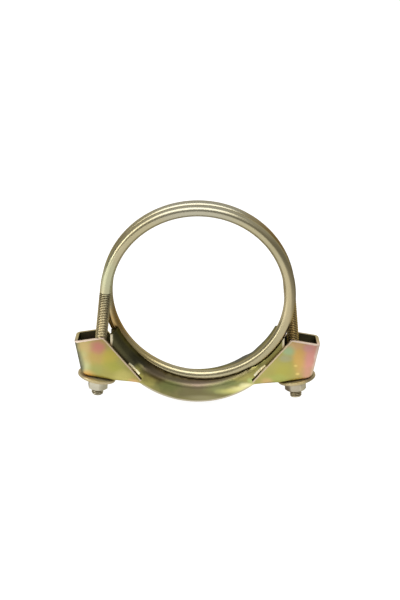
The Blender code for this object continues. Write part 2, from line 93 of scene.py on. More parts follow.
@dataclass(frozen=True)
class NodePen:
    """Adds nodes to one tree and joins them.

    Attributes:
        tree: The node tree.
    """

    tree: bpy.types.NodeTree

    def node(self, kind: str, **settings: object) -> bpy.types.Node:
        """Adds a node.

        Args:
            kind: The node's type.
            settings: Its settings, by name.

        Returns:
            The node.
        """
        node = self.tree.nodes.new(kind)
        for name, value in settings.items():
            setattr(node, name, value)
        return node

    def feed(self, slot: bpy.types.NodeSocket, value: object) -> None:
        """Joins a socket to an input, or sets the input's own value.

        Args:
            slot: The input.
            value: A socket or a plain value. None leaves the input as it is.
        """
        if isinstance(value, bpy.types.NodeSocket):
            self.tree.links.new(value, slot)
        elif value is not None:
            slot.default_value = (*value, 1.0) if slot.type == "RGBA" else value

    def feed_all(self, node: bpy.types.Node, values: dict[str, object]) -> None:
        """Feeds several inputs of a node.

        Args:
            node: The node.
            values: What goes into its inputs, by name.
        """
        for name, value in values.items():
            self.feed(node.inputs[name], value)

    def through(self, kind: str, values: dict[str, object],
                **settings: object) -> bpy.types.NodeSocket:
        """Adds a node and feeds it.

        Args:
            kind: The node's type.
            values: What goes into its inputs, by name.
            settings: Its settings, by name.

        Returns:
            Its first output.
        """
        node = self.node(kind, **settings)
        self.feed_all(node, values)
        return node.outputs[0]

    def give(self, results: dict[str, bpy.types.NodeSocket]) -> None:
        """Puts results out of a group.

        Args:
            results: The sockets, by the names of the group's outputs.
        """
        self.feed_all(self.node("NodeGroupOutput"), results)

    def maths(self, kind: str, first: object, second: object = None,
              clamp: bool = False) -> bpy.types.NodeSocket:
        """Adds a Math node.

        Args:
            kind: The operation's name.
            first: A socket or a number.
            second: A socket or a number, where the operation takes two.
            clamp: Whether the result stays between 0 and 1.

        Returns:
            Its result.
        """
        node = self.node("ShaderNodeMath", operation=kind, use_clamp=clamp)
        for slot, value in zip(node.inputs, (first, second)):
            self.feed(slot, value)
        return node.outputs[0]

    def vector(self, kind: str, first: object, second: object = None,
               scale: object = None) -> bpy.types.NodeSocket:
        """Adds a Vector Math node.

        Args:
            kind: The operation's name.
            first: A socket or three numbers.
            second: A socket or three numbers, where the operation takes two.
            scale: A socket or a number, where the operation scales.

        Returns:
            Its result, a number where the operation gives one.
        """
        node = self.node("ShaderNodeVectorMath", operation=kind)
        for slot, value in zip(node.inputs, (first, second)):
            self.feed(slot, value)
        if scale is not None:
            self.feed(node.inputs["Scale"], scale)
        return node.outputs["Value"] if kind in NUMBER_RESULTS else node.outputs[0]

    def mix(self, share: object, first: object, second: object) -> bpy.types.NodeSocket:
        """Mixes two colours.

        Args:
            share: A socket or a number, 0 for the first colour and 1 for the second.
            first: A socket or a colour.
            second: A socket or a colour.

        Returns:
            The mixed colour.
        """
        node = self.node("ShaderNodeMix", data_type="RGBA")
        for place, value in zip(MIX_INPUTS, (share, first, second)):
            self.feed(node.inputs[place], value)
        return node.outputs[MIX_RESULT]

    def ramp(self, value: bpy.types.NodeSocket,
             stops: Sequence[tuple[float, Colour]]) -> bpy.types.NodeSocket:
        """Adds a smooth colour ramp.

        Args:
            value: What the ramp reads.
            stops: Places from 0 to 1 with their colours.

        Returns:
            The ramp's colour.
        """
        node = self.node("ShaderNodeValToRGB")
        node.color_ramp.interpolation = "EASE"
        elements = node.color_ramp.elements
        while len(elements) > 1:
            elements.remove(elements[-1])
        elements[0].position = stops[0][0]
        elements[0].color = (*stops[0][1], 1.0)
        for place, colour in stops[1:]:
            elements.new(place).color = (*colour, 1.0)
        self.feed(node.inputs[0], value)
        return node.outputs[0]

    def noise(self, place: bpy.types.NodeSocket, scale: object, detail: float = 2.0,
              distortion: float = 0.0) -> bpy.types.NodeSocket:
        """Adds a noise texture.

        Args:
            place: Where it is read.
            scale: A socket or a number.
            detail: How much fine detail it has.
            distortion: How much it is distorted.

        Returns:
            Its value, from 0 to 1.
        """
        node = self.node("ShaderNodeTexNoise")
        self.feed_all(node, {"Vector": place, "Scale": scale, "Detail": detail,
                             "Distortion": distortion})
        return node.outputs["Fac"]

    def split(self, value: bpy.types.NodeSocket) -> list[bpy.types.NodeSocket]:
        """Splits three numbers.

        Args:
            value: A vector socket.

        Returns:
            Its X, Y and Z.
        """
        node = self.node("ShaderNodeSeparateXYZ")
        self.feed(node.inputs[0], value)
        return list(node.outputs)


def new_group(name: str, inputs: dict[str, str], outputs: dict[str, str],
              kind: str = "ShaderNodeTree") -> tuple[NodePen, list[bpy.types.NodeSocket]]:
    """Makes a node group with named sockets.

    Args:
        name: The group's name.
        inputs: Kinds of its inputs, such as Float, Color or Vector, by name.
        outputs: The same for what it gives.
        kind: The kind of tree.

    Returns:
        A pen for the group, and the sockets of its inputs in order.
    """
    tree = bpy.data.node_groups.new(name, kind)
    for way, sockets in (("INPUT", inputs), ("OUTPUT", outputs)):
        for title, socket in sockets.items():
            tree.interface.new_socket(title, in_out=way, socket_type=f"NodeSocket{socket}")
    pen = NodePen(tree)
    given = pen.node("NodeGroupInput").outputs
    return pen, [given[title] for title in inputs]


def add_object(name: str, data: bpy.types.ID) -> bpy.types.Object:
    """Makes an object and puts it into the scene.

    Args:
        name: Its name.
        data: Its mesh, lamp or camera.

    Returns:
        The object.
    """
    made = bpy.data.objects.new(name, data)
    bpy.context.scene.collection.objects.link(made)
    return made


# Finishes

@dataclass(frozen=True)
class TintPatch:
    """One soft patch of colour: the passivation's interference colour in most places, a painted
    highlight or painted shade in others.

    Attributes:
        middle: Its middle, in millimetres from the loop's centre.
        reach: How far it spreads along each axis, in millimetres.
        colour: Its colour.
        strength: How much of the colour shows at the middle.
    """

    middle: tuple[float, float, float]
    reach: tuple[float, float, float]
    colour: Colour
    strength: float = 1.0

    def inputs(self) -> dict[str, object]:
        """Says what goes into the tint_patch group.

        Returns:
            The values, by input name.
        """
        return {"Middle": [c * MM for c in self.middle], "Reach": [c * MM for c in self.reach],
                "Tint": self.colour, "Strength": self.strength}


@dataclass(frozen=True)
class EdgeHighlight:
    """A painted highlight band along a straight edge.

    Attributes:
        start: One end of the edge on the right half, in millimetres, with 0 for the depth.
        end: Its other end.
        width: Width of the band, in millimetres.
        colour: Its colour.
        depths: Nearest and farthest place along Y that it is painted, in millimetres.
    """

    start: tuple[float, float, float]
    end: tuple[float, float, float]
    width: float
    colour: Colour
    depths: tuple[float, float] = (-20.0, -8.2)

    def inputs(self) -> dict[str, object]:
        """Says what goes into the edge_band group.

        Returns:
            The values, by input name.
        """
        start, end = Vector(self.start) * MM, Vector(self.end) * MM
        return {"Start": start, "Way": (end - start).normalized(),
                "Length": (end - start).length, "Width": self.width * MM,
                "Front": self.depths[0] * MM, "Back": self.depths[1] * MM,
                "Highlight": self.colour}


@dataclass(frozen=True)
class CurvedBand:
    """A soft band that follows an ellipse round the loop's centre, along the crown.

    Attributes:
        axes: Half width and half height of the ellipse, in millimetres.
        half_span: How far it reaches to each side, in millimetres.
        width: Half width of the band, in millimetres.
        colour: Its colour.
        strength: How much of the colour shows.
    """

    axes: tuple[float, float]
    half_span: float
    width: float
    colour: Colour
    strength: float = 1.0

    def inputs(self) -> dict[str, object]:
        """Says what goes into the crown_band group.

        Returns:
            The values, by input name.
        """
        return {"Axes": (self.axes[0] * MM, 1.0, self.axes[1] * MM),
                "Span": self.half_span * MM, "Width": self.width * MM,
                "Strength": self.strength, "Tint": self.colour}


@dataclass(frozen=True)
class ZincFinish:
    """A passivated zinc plating.

    Attributes:
        name: The material's name.
        ground: The plating's main colour.
        cloud: The colour that drifts through it.
        cloud_scale: How fine the drift is, in clouds per metre.
        cloud_share: How strong the drift is.
        roughness: Lowest and highest roughness.
        grain: Scale of the fine grain, per metre.
        bump: Depth of the grain, in metres.
        patches: Soft patches of other colours, some of them painted highlight or shade.
        bands: Painted highlight bands along straight edges.
        curves: Soft bands along the crown, of painted shade or painted highlight.
        metal: How metallic it is.
        edge: Tint of the metal where it is seen at a glancing angle.
        rim: Colour of cut edges, bare metal lightened into a painted highlight, where the piece
            marks them.
        root: Colour of the painted shade in the thread's grooves, where the piece marks them.
        painted_shade: Colour of the painted shade on inner faces, where the piece marks them.
    """

    name: str
    ground: Colour
    cloud: Colour
    cloud_scale: float = 45.0
    cloud_share: float = 0.6
    roughness: tuple[float, float] = (0.22, 0.38)
    grain: float = 900.0
    bump: float = 0.00002
    patches: tuple[TintPatch, ...] = ()
    bands: tuple[EdgeHighlight, ...] = ()
    curves: tuple[CurvedBand, ...] = ()
    metal: float = 1.0
    edge: Colour = (1.0, 1.0, 1.0)
    rim: Optional[Colour] = None
    root: Optional[Colour] = None
    painted_shade: Optional[Colour] = None


class FinishShop:
    """Makes the materials from the finishes, with the node groups that they share."""

    def __init__(self) -> None:
        """Builds the shared groups once."""
        self.grain_group = self._make_grain_group()
        self.cloud_group = self._make_cloud_group()
        self.patch_group = self._make_patch_group()
        self.band_group = self._make_band_group()
        self.curve_group = self._make_curve_group()

    @staticmethod
    def _make_grain_group() -> bpy.types.NodeTree:
        """Fine plating grain: a height for bump and a roughness that varies.

        Returns:
            The group.
        """
        slow_scale, fine_share = 0.12, 0.35
        pen, (place, scale, smoothest, roughest) = new_group(
            "plating_grain",
            {"Place": "Vector", "Scale": "Float", "Smoothest": "Float", "Roughest": "Float"},
            {"Height": "Float", "Roughness": "Float"})
        fine = pen.noise(place, scale, 3.0)
        slow = pen.noise(place, pen.maths("MULTIPLY", scale, slow_scale))
        both = pen.maths("ADD", pen.maths("MULTIPLY", fine, fine_share),
                         pen.maths("MULTIPLY", slow, 1.0 - fine_share))
        spread = pen.maths("SUBTRACT", roughest, smoothest)
        rough = pen.maths("ADD", pen.maths("MULTIPLY", both, spread), smoothest)
        pen.give({"Height": fine, "Roughness": rough})
        return pen.tree

    @staticmethod
    def _make_cloud_group() -> bpy.types.NodeTree:
        """Slow drift between two plating colours.

        Returns:
            The group.
        """
        lowest, contrast = 0.35, 3.0
        pen, (place, scale, share, ground, cloud) = new_group(
            "plating_cloud",
            {"Place": "Vector", "Scale": "Float", "Share": "Float", "Ground": "Color",
             "Cloud": "Color"},
            {"Colour": "Color"})
        drift = pen.noise(place, scale, 1.5, 0.6)
        stretched = pen.maths("MULTIPLY", pen.maths("SUBTRACT", drift, lowest), contrast, True)
        pen.give({"Colour": pen.mix(pen.maths("MULTIPLY", stretched, share), ground, cloud)})
        return pen.tree

    @staticmethod
    def _make_patch_group() -> bpy.types.NodeTree:
        """One soft patch of colour with a wavering edge.

        Returns:
            The group.
        """
        waver_scale, waver_size, faded, full = 130.0, 0.7, 1.3, 0.1
        pen, (place, middle, reach, under, tint, strength) = new_group(
            "tint_patch",
            {"Place": "Vector", "Middle": "Vector", "Reach": "Vector", "Under": "Color",
             "Tint": "Color", "Strength": "Float"},
            {"Colour": "Color"})
        offset = pen.vector("SUBTRACT", place, middle)
        distance = pen.vector("LENGTH", pen.vector("DIVIDE", offset, reach))
        waver = pen.maths("SUBTRACT", pen.noise(place, waver_scale, 2.0, 0.4), 0.5)
        moved = pen.maths("ADD", distance, pen.maths("MULTIPLY", waver, waver_size))
        fade = pen.through("ShaderNodeMapRange",
                           {"Value": moved, "From Min": faded, "From Max": full},
                           interpolation_type="SMOOTHERSTEP")
        pen.give({"Colour": pen.mix(pen.maths("MULTIPLY", fade, strength), under, tint)})
        return pen.tree

    @staticmethod
    def _make_band_group() -> bpy.types.NodeTree:
        """A painted highlight band along a straight edge, the same on the left and right halves.

        Returns:
            The group.
        """
        waver_scale, sharpness = 420.0, 1.6
        pen, (place, start, way, length, width, front, back, under, highlight) = new_group(
            "edge_band",
            {"Place": "Vector", "Start": "Vector", "Way": "Vector", "Length": "Float",
             "Width": "Float", "Front": "Float", "Back": "Float", "Under": "Color",
             "Highlight": "Color"},
            {"Colour": "Color"})
        mirrored = pen.vector("MULTIPLY", pen.vector("ABSOLUTE", place), (1.0, 0.0, -1.0))
        offset = pen.vector("SUBTRACT", mirrored, start)
        run = pen.vector("DOT_PRODUCT", offset, way)
        away = pen.vector("DISTANCE", offset, pen.vector("SCALE", way, scale=run))
        waver = pen.maths("ADD", pen.noise(place, waver_scale), 0.5)
        wide = pen.maths("MULTIPLY", width, waver)
        share = pen.maths("SUBTRACT", sharpness, pen.maths("DIVIDE", away, wide), True)
        within = pen.maths("MULTIPLY", pen.maths("GREATER_THAN", run, 0.0),
                           pen.maths("LESS_THAN", run, length))
        depth = pen.split(place)[1]
        for kind, limit in (("GREATER_THAN", front), ("LESS_THAN", back)):
            within = pen.maths("MULTIPLY", within, pen.maths(kind, depth, limit))
        pen.give({"Colour": pen.mix(pen.maths("MULTIPLY", share, within), under, highlight)})
        return pen.tree

    @staticmethod
    def _make_curve_group() -> bpy.types.NodeTree:
        """A soft band along an ellipse round the loop's centre.

        Returns:
            The group.
        """
        waver_scale, waver_size, narrowest, sharpness, end_slope = 160.0, 0.6, 0.7, 1.5, 8.0
        pen, (place, axes, span, width, strength, under, tint) = new_group(
            "crown_band",
            {"Place": "Vector", "Axes": "Vector", "Span": "Float", "Width": "Float",
             "Strength": "Float", "Under": "Color", "Tint": "Color"},
            {"Colour": "Color"})
        flat = pen.vector("MULTIPLY", pen.vector("DIVIDE", place, axes), (1.0, 0.0, 1.0))
        beyond = pen.maths("SUBTRACT", pen.vector("LENGTH", flat), 1.0)
        off = pen.maths("MULTIPLY", pen.maths("ABSOLUTE", beyond), pen.vector("LENGTH", place))
        waver = pen.maths("MULTIPLY", pen.noise(place, waver_scale), waver_size)
        wide = pen.maths("MULTIPLY", width, pen.maths("ADD", waver, narrowest))
        share = pen.maths("SUBTRACT", sharpness, pen.maths("DIVIDE", off, wide), True)
        across, _, height = pen.split(place)
        side = pen.maths("DIVIDE", pen.maths("ABSOLUTE", across), span)
        ends = pen.maths("MULTIPLY", pen.maths("SUBTRACT", 1.0, side), end_slope, True)
        low = pen.maths("LESS_THAN", height, 0.0)
        share = pen.maths("MULTIPLY", pen.maths("MULTIPLY", share, ends),
                          pen.maths("MULTIPLY", low, strength))
        pen.give({"Colour": pen.mix(share, under, tint)})
        return pen.tree

    @staticmethod
    def _marked(pen: NodePen, title: str, under: bpy.types.NodeSocket,
                colour: Colour) -> bpy.types.NodeSocket:
        """Lays a colour over another where the piece is marked.

        Args:
            pen: The pen for the material.
            title: The mark's name.
            under: The colour below.
            colour: The colour that is laid over it.

        Returns:
            The new colour.
        """
        mark = pen.node("ShaderNodeAttribute", attribute_name=title)
        return pen.mix(mark.outputs["Fac"], under, colour)

    @staticmethod
    def _layered(pen: NodePen, place: bpy.types.NodeSocket, under: bpy.types.NodeSocket,
                 group: bpy.types.NodeTree, layers: Sequence[object]) -> bpy.types.NodeSocket:
        """Lays patches or bands over a colour, one after another.

        Args:
            pen: The pen for the material.
            place: The object's coordinates.
            under: The colour below.
            group: The group that paints one layer.
            layers: The patches or bands.

        Returns:
            The new colour.
        """
        for layer in layers:
            under = pen.through("ShaderNodeGroup",
                                {"Place": place, "Under": under, **layer.inputs()},
                                node_tree=group)
        return under

    def material(self, finish: ZincFinish) -> bpy.types.Material:
        """Makes the material of one finish.

        Args:
            finish: The plating to make.

        Returns:
            A node-based material that reads object coordinates.
        """
        material = bpy.data.materials.new(finish.name)
        material.use_nodes = True
        pen = NodePen(material.node_tree)
        place = pen.node("ShaderNodeTexCoord").outputs["Object"]

        colour = pen.through("ShaderNodeGroup", {
            "Place": place, "Scale": finish.cloud_scale, "Share": finish.cloud_share,
            "Ground": finish.ground, "Cloud": finish.cloud}, node_tree=self.cloud_group)
        colour = self._layered(pen, place, colour, self.patch_group, finish.patches)
        # Painted shade and highlight bands along the crown.
        colour = self._layered(pen, place, colour, self.curve_group, finish.curves)
        # Painted shade on the inner faces that the piece marks.
        if finish.painted_shade:
            colour = self._marked(pen, "painted_shade", colour, finish.painted_shade)
        # Painted highlights along straight edges.
        colour = self._layered(pen, place, colour, self.band_group, finish.bands)
        # Rim: bare cut edges with a painted highlight. The other mark is painted shade in the
        # thread's grooves.
        for title, marked in (("rim", finish.rim), ("root", finish.root)):
            if marked:
                colour = self._marked(pen, title, colour, marked)

        grain = pen.node("ShaderNodeGroup", node_tree=self.grain_group)
        pen.feed_all(grain, {"Place": place, "Scale": finish.grain,
                             "Smoothest": finish.roughness[0],
                             "Roughest": finish.roughness[1]})
        bump = pen.through("ShaderNodeBump", {"Distance": finish.bump,
                                              "Height": grain.outputs["Height"]})
        pen.feed_all(pen.tree.nodes["Principled BSDF"], {
            "Base Color": colour, "Specular Tint": finish.edge, "Metallic": finish.metal,
            "Roughness": grain.outputs["Roughness"], "Normal": bump})
        return material


def tint_layer(depth: float, reach: float,
               rows: Sequence[tuple[float, float, float, float, Colour, float]]
               ) -> tuple[TintPatch, ...]:
    """Makes patches that lie at one depth and reach equally far along it.

    Args:
        depth: Their middle along Y, in millimetres.
        reach: How far they spread along Y, in millimetres.
        rows: Middle along X and Z, reach along X and Z, colour and strength of each.

    Returns:
        The patches, in the same order.
    """
    return tuple(TintPatch((x, depth, z), (wide, reach, high), colour, strength)
                 for x, z, wide, high, colour, strength in rows)


ROD_ZINC = ZincFinish(
    "rod_zinc", ground=(0.38, 0.335, 0.20), cloud=(0.46, 0.41, 0.26), cloud_scale=28.0,
    cloud_share=0.7, roughness=(0.23, 0.30), grain=300.0, bump=0.0000015,
    # The last colour is painted shade in the thread's grooves.
    edge=(0.34, 0.27, 0.16), root=(0.11, 0.08, 0.035),
    patches=(
        *tint_layer(0.0, 30.0, (
            (0.0, 60.0, 45.0, 12.0, (0.43, 0.41, 0.32), 0.8),
            (-62.0, 14.0, 10.0, 22.0, (0.43, 0.44, 0.28), 0.8),
        )),
        TintPatch((50.0, 6.0, 36.0), (26.0, 9.0, 30.0), (0.30, 0.20, 0.08), 0.9),
        TintPatch((64.0, 0.0, 0.0), (12.0, 40.0, 40.0), (0.46, 0.38, 0.22), 0.6),
        TintPatch((-69.0, -1.0, -34.0), (9.0, 20.0, 46.0), (0.80, 0.68, 0.40), 0.95),
        TintPatch((69.0, 1.0, -34.0), (8.0, 20.0, 46.0), (0.66, 0.48, 0.19), 0.95),
        TintPatch((-69.0, -1.0, -74.0), (9.0, 20.0, 8.0), (0.62, 0.58, 0.44), 0.95),
        TintPatch((69.0, 1.0, -74.0), (9.0, 20.0, 8.0), (0.62, 0.55, 0.38), 0.95),
        TintPatch((-56.0, 6.0, -26.0), (14.0, 9.0, 26.0), (0.40, 0.25, 0.08), 0.95),
        TintPatch((-38.0, 2.0, -46.0), (22.0, 20.0, 14.0), (0.44, 0.34, 0.14), 0.7),
        TintPatch((10.0, 0.0, -61.0), (30.0, 20.0, 6.0), (0.52, 0.47, 0.30), 0.7),
    ))
SHEET_ZINC = ZincFinish(
    "sheet_zinc", ground=(0.42, 0.38, 0.11), cloud=(0.46, 0.42, 0.15), cloud_scale=40.0,
    cloud_share=0.6, roughness=(0.38, 0.50), bump=0.000006, edge=(0.44, 0.39, 0.27),
    # The rim colour is bare cut metal lightened into a painted highlight; the last colour here
    # is painted shade for the ears' insides, the tongues and the land behind the rod.
    rim=(0.95, 0.76, 0.62), painted_shade=(0.035, 0.033, 0.022),
    # Painted highlights along the cut edges of the ears and along the tongues' edges.
    bands=(
        EdgeHighlight((38.9, 0.0, -61.3), (65.3, 0.0, -30.2), 0.45, (0.66, 0.52, 0.36)),
        EdgeHighlight((64.9, 0.0, -30.1), (85.1, 0.0, -33.5), 0.45, (0.92, 0.76, 0.63)),
        EdgeHighlight((37.4, 0.0, -58.9), (47.6, 0.0, -49.5), 0.75, (0.92, 0.88, 0.62), (-9.9, 8.1)),
        EdgeHighlight((60.2, 0.0, -39.0), (59.2, 0.0, -28.0), 0.80, (0.62, 0.55, 0.38), (-8.1, 8.1)),
    ),
    # Painted shade along the crown's shoulder, then a painted highlight along its lower rim.
    curves=(
        CurvedBand((65.4, 62.6), 41.0, 1.7, (0.15, 0.12, 0.08), 0.75),
        CurvedBand((69.6, 76.0), 40.0, 0.6, (0.60, 0.54, 0.40), 0.9),
    ),
    patches=(
        *tint_layer(-10.0, 12.0, (
            (-78.0, -51.0, 5.5, 20.0, (0.58, 0.59, 0.30), 0.9),
            (-78.0, -36.0, 8.0, 6.5, (0.62, 0.46, 0.20), 0.9),
            (-70.5, -44.0, 10.0, 7.0, (0.55, 0.37, 0.13), 0.8),
            (-68.0, -36.5, 7.5, 6.5, (0.58, 0.24, 0.19), 0.95),
            (-60.0, -43.5, 7.0, 8.0, (0.55, 0.45, 0.09), 0.8),
            (-57.5, -51.0, 9.0, 6.0, (0.42, 0.42, 0.08), 0.7),
            (-70.5, -54.0, 7.0, 5.0, (0.38, 0.40, 0.14), 0.6),
        )),
        # Painted highlight on the left ear's rounded lower corner.
        TintPatch((-77.5, -10.0, -57.0), (8.0, 14.0, 4.0), (0.72, 0.45, 0.15), 0.95),
        *tint_layer(-10.0, 12.0, (
            (-50.0, -58.0, 9.0, 6.0, (0.58, 0.52, 0.17), 0.8),
            (-44.0, -62.0, 5.0, 4.0, (0.72, 0.44, 0.20), 0.8),
        )),
        TintPatch((78.0, -10.0, -42.0), (9.0, 14.0, 22.0), (0.72, 0.34, 0.28), 1.0),
        *tint_layer(-10.0, 12.0, (
            (70.5, -42.0, 6.0, 16.0, (0.68, 0.43, 0.13), 0.85),
            (76.5, -35.0, 5.0, 3.5, (0.64, 0.34, 0.32), 0.7),
            (67.5, -33.5, 7.0, 4.0, (0.66, 0.42, 0.22), 0.8),
            (63.0, -37.5, 5.0, 4.5, (0.38, 0.50, 0.28), 0.9),
            (61.0, -43.5, 6.0, 3.5, (0.40, 0.40, 0.26), 0.7),
            (60.0, -52.0, 9.0, 8.0, (0.45, 0.42, 0.09), 0.7),
            (56.0, -58.0, 9.0, 4.0, (0.42, 0.46, 0.13), 0.7),
            (48.5, -61.0, 5.0, 4.0, (0.68, 0.46, 0.20), 0.8),
        )),
        *tint_layer(-10.0, 10.0, (
            (68.5, -48.5, 1.6, 1.1, (0.80, 0.62, 0.20), 0.8),
            (70.0, -54.5, 1.8, 1.1, (0.85, 0.65, 0.22), 0.8),
        )),
        # The crown's face: painted shade across the middle, and a pinkish top painted as the
        # soft light on its rounded shoulder.
        TintPatch((0.0, -9.0, -68.0), (46.0, 14.0, 14.0), (0.20, 0.18, 0.085), 1.0),
        TintPatch((4.0, -8.0, -62.0), (18.0, 12.0, 6.0), (0.36, 0.26, 0.20), 0.95),
        # On the crown's face: painted shade under the rod on the left, a painted highlight along
        # the lower right with a darker strip above it, and a painted reflection lightening the
        # bottom.
        *tint_layer(-9.0, 12.0, (
            (-20.0, -64.5, 12.0, 7.0, (0.15, 0.17, 0.055), 0.8),
            (-28.0, -56.0, 14.0, 8.0, (0.10, 0.07, 0.025), 0.95),
            (14.0, -66.0, 12.0, 5.5, (0.30, 0.32, 0.13), 0.8),
            (20.0, -68.5, 9.0, 2.6, (0.46, 0.46, 0.17), 0.9),
            (25.0, -62.0, 12.0, 3.0, (0.22, 0.26, 0.10), 0.7),
            (25.0, -68.0, 8.0, 2.4, (0.66, 0.62, 0.22), 1.0),
            (30.0, -66.2, 8.0, 2.6, (0.85, 0.80, 0.36), 1.0),
            (35.0, -63.8, 7.0, 2.8, (0.92, 0.87, 0.46), 1.0),
            (37.5, -60.0, 3.0, 2.4, (0.50, 0.58, 0.20), 0.9),
            (5.0, -73.5, 16.0, 2.6, (0.38, 0.35, 0.19), 0.7),
        )),
        # Painted shade on the left tongue, under the rod.
        TintPatch((-38.0, -6.0, -47.0), (14.0, 10.0, 12.0), (0.07, 0.075, 0.03), 0.8),
        TintPatch((-30.0, -3.0, -53.0), (18.0, 8.0, 9.0), (0.07, 0.05, 0.02), 0.95),
        # Painted shade on the land behind the rod at the right.
        TintPatch((40.0, 9.5, -42.0), (46.0, 11.0, 44.0), (0.20, 0.20, 0.185), 1.0),
        *tint_layer(11.0, 8.0, (
            (72.0, -42.0, 9.0, 9.0, (0.56, 0.38, 0.15), 0.9),
            (79.0, -52.0, 8.0, 8.0, (0.60, 0.34, 0.28), 0.9),
            (60.0, -52.0, 9.0, 7.0, (0.44, 0.42, 0.12), 0.9),
            (-74.0, -38.0, 9.0, 7.0, (0.60, 0.36, 0.26), 0.9),
            (-80.0, -50.0, 7.0, 12.0, (0.52, 0.54, 0.28), 0.9),
            (-62.0, -50.0, 9.0, 8.0, (0.56, 0.42, 0.14), 0.8),
            (-14.0, -67.0, 16.0, 7.0, (0.40, 0.31, 0.24), 0.8),
        )),
        # Painted shade down the left ear's rounded outer corner, and a painted highlight down
        # the right ear's.
        *tint_layer(-9.5, 9.0, (
            (-84.6, -35.0, 3.6, 8.0, (0.16, 0.15, 0.10), 1.0),
            (-82.8, -44.0, 3.6, 9.0, (0.17, 0.17, 0.11), 1.0),
            (-81.2, -52.0, 3.6, 8.0, (0.19, 0.19, 0.12), 1.0),
            (85.0, -37.0, 2.8, 8.0, (1.0, 0.82, 0.72), 1.0),
            (83.4, -45.0, 2.8, 9.0, (1.0, 0.84, 0.72), 1.0),
            (81.6, -54.0, 2.8, 9.0, (0.95, 0.76, 0.60), 1.0),
        )),
    ))
WASHER_ZINC = ZincFinish(
    "washer_zinc", ground=(0.56, 0.45, 0.22), cloud=(0.62, 0.54, 0.36), metal=0.65,
    roughness=(0.30, 0.42), edge=(0.45, 0.36, 0.22),
    patches=(
        *tint_layer(0.0, 20.0, (
            (-79.0, -61.0, 4.5, 8.0, (0.36, 0.30, 0.20), 0.9),
            (79.0, -61.0, 4.5, 8.0, (0.32, 0.27, 0.16), 0.9),
            (60.0, -62.0, 5.0, 8.0, (0.34, 0.27, 0.14), 0.8),
        )),
        # Painted highlight on the front rim of the left washer.
        TintPatch((-74.0, -9.0, -65.0), (6.0, 5.0, 2.5), (0.88, 0.68, 0.42), 0.9),
    ))
NUT_ZINC = ZincFinish(
    "nut_zinc", ground=(0.60, 0.57, 0.46), cloud=(0.54, 0.49, 0.35), roughness=(0.22, 0.36),
    edge=(0.5, 0.45, 0.34),
    patches=(
        # Painted shade on the inner face of the left nut.
        TintPatch((-64.5, -6.0, -70.0), (4.5, 9.0, 9.0), (0.36, 0.33, 0.22), 0.9),
        TintPatch((70.0, -4.0, -69.0), (12.0, 14.0, 12.0), (0.42, 0.37, 0.27), 0.9),
        # The right nut's inner face painted darker as shade and its outer face lighter as a
        # highlight.
        *tint_layer(-4.0, 9.0, (
            (63.5, -69.0, 3.5, 9.0, (0.16, 0.12, 0.08), 0.9),
            (75.5, -69.0, 3.5, 9.0, (0.58, 0.53, 0.38), 0.8),
        )),
    ))


# Rod

def smooth_step(share: float) -> float:
    """Smooth change from 0 to 1.

    Args:
        share: How far the change has come; it is kept between 0 and 1.

    Returns:
        The eased share.
    """
    share = min(max(share, 0.0), 1.0)
    return share * share * (3.0 - 2.0 * share)


def eased_run(share: float) -> float:
    """Area under smooth_step.

    Args:
        share: Where the area ends.

    Returns:
        The area from 0 to share.
    """
    if share <= 0.0:
        return 0.0
    if share >= 1.0:
        return share - 0.5
    return share ** 3 - 0.5 * share ** 4


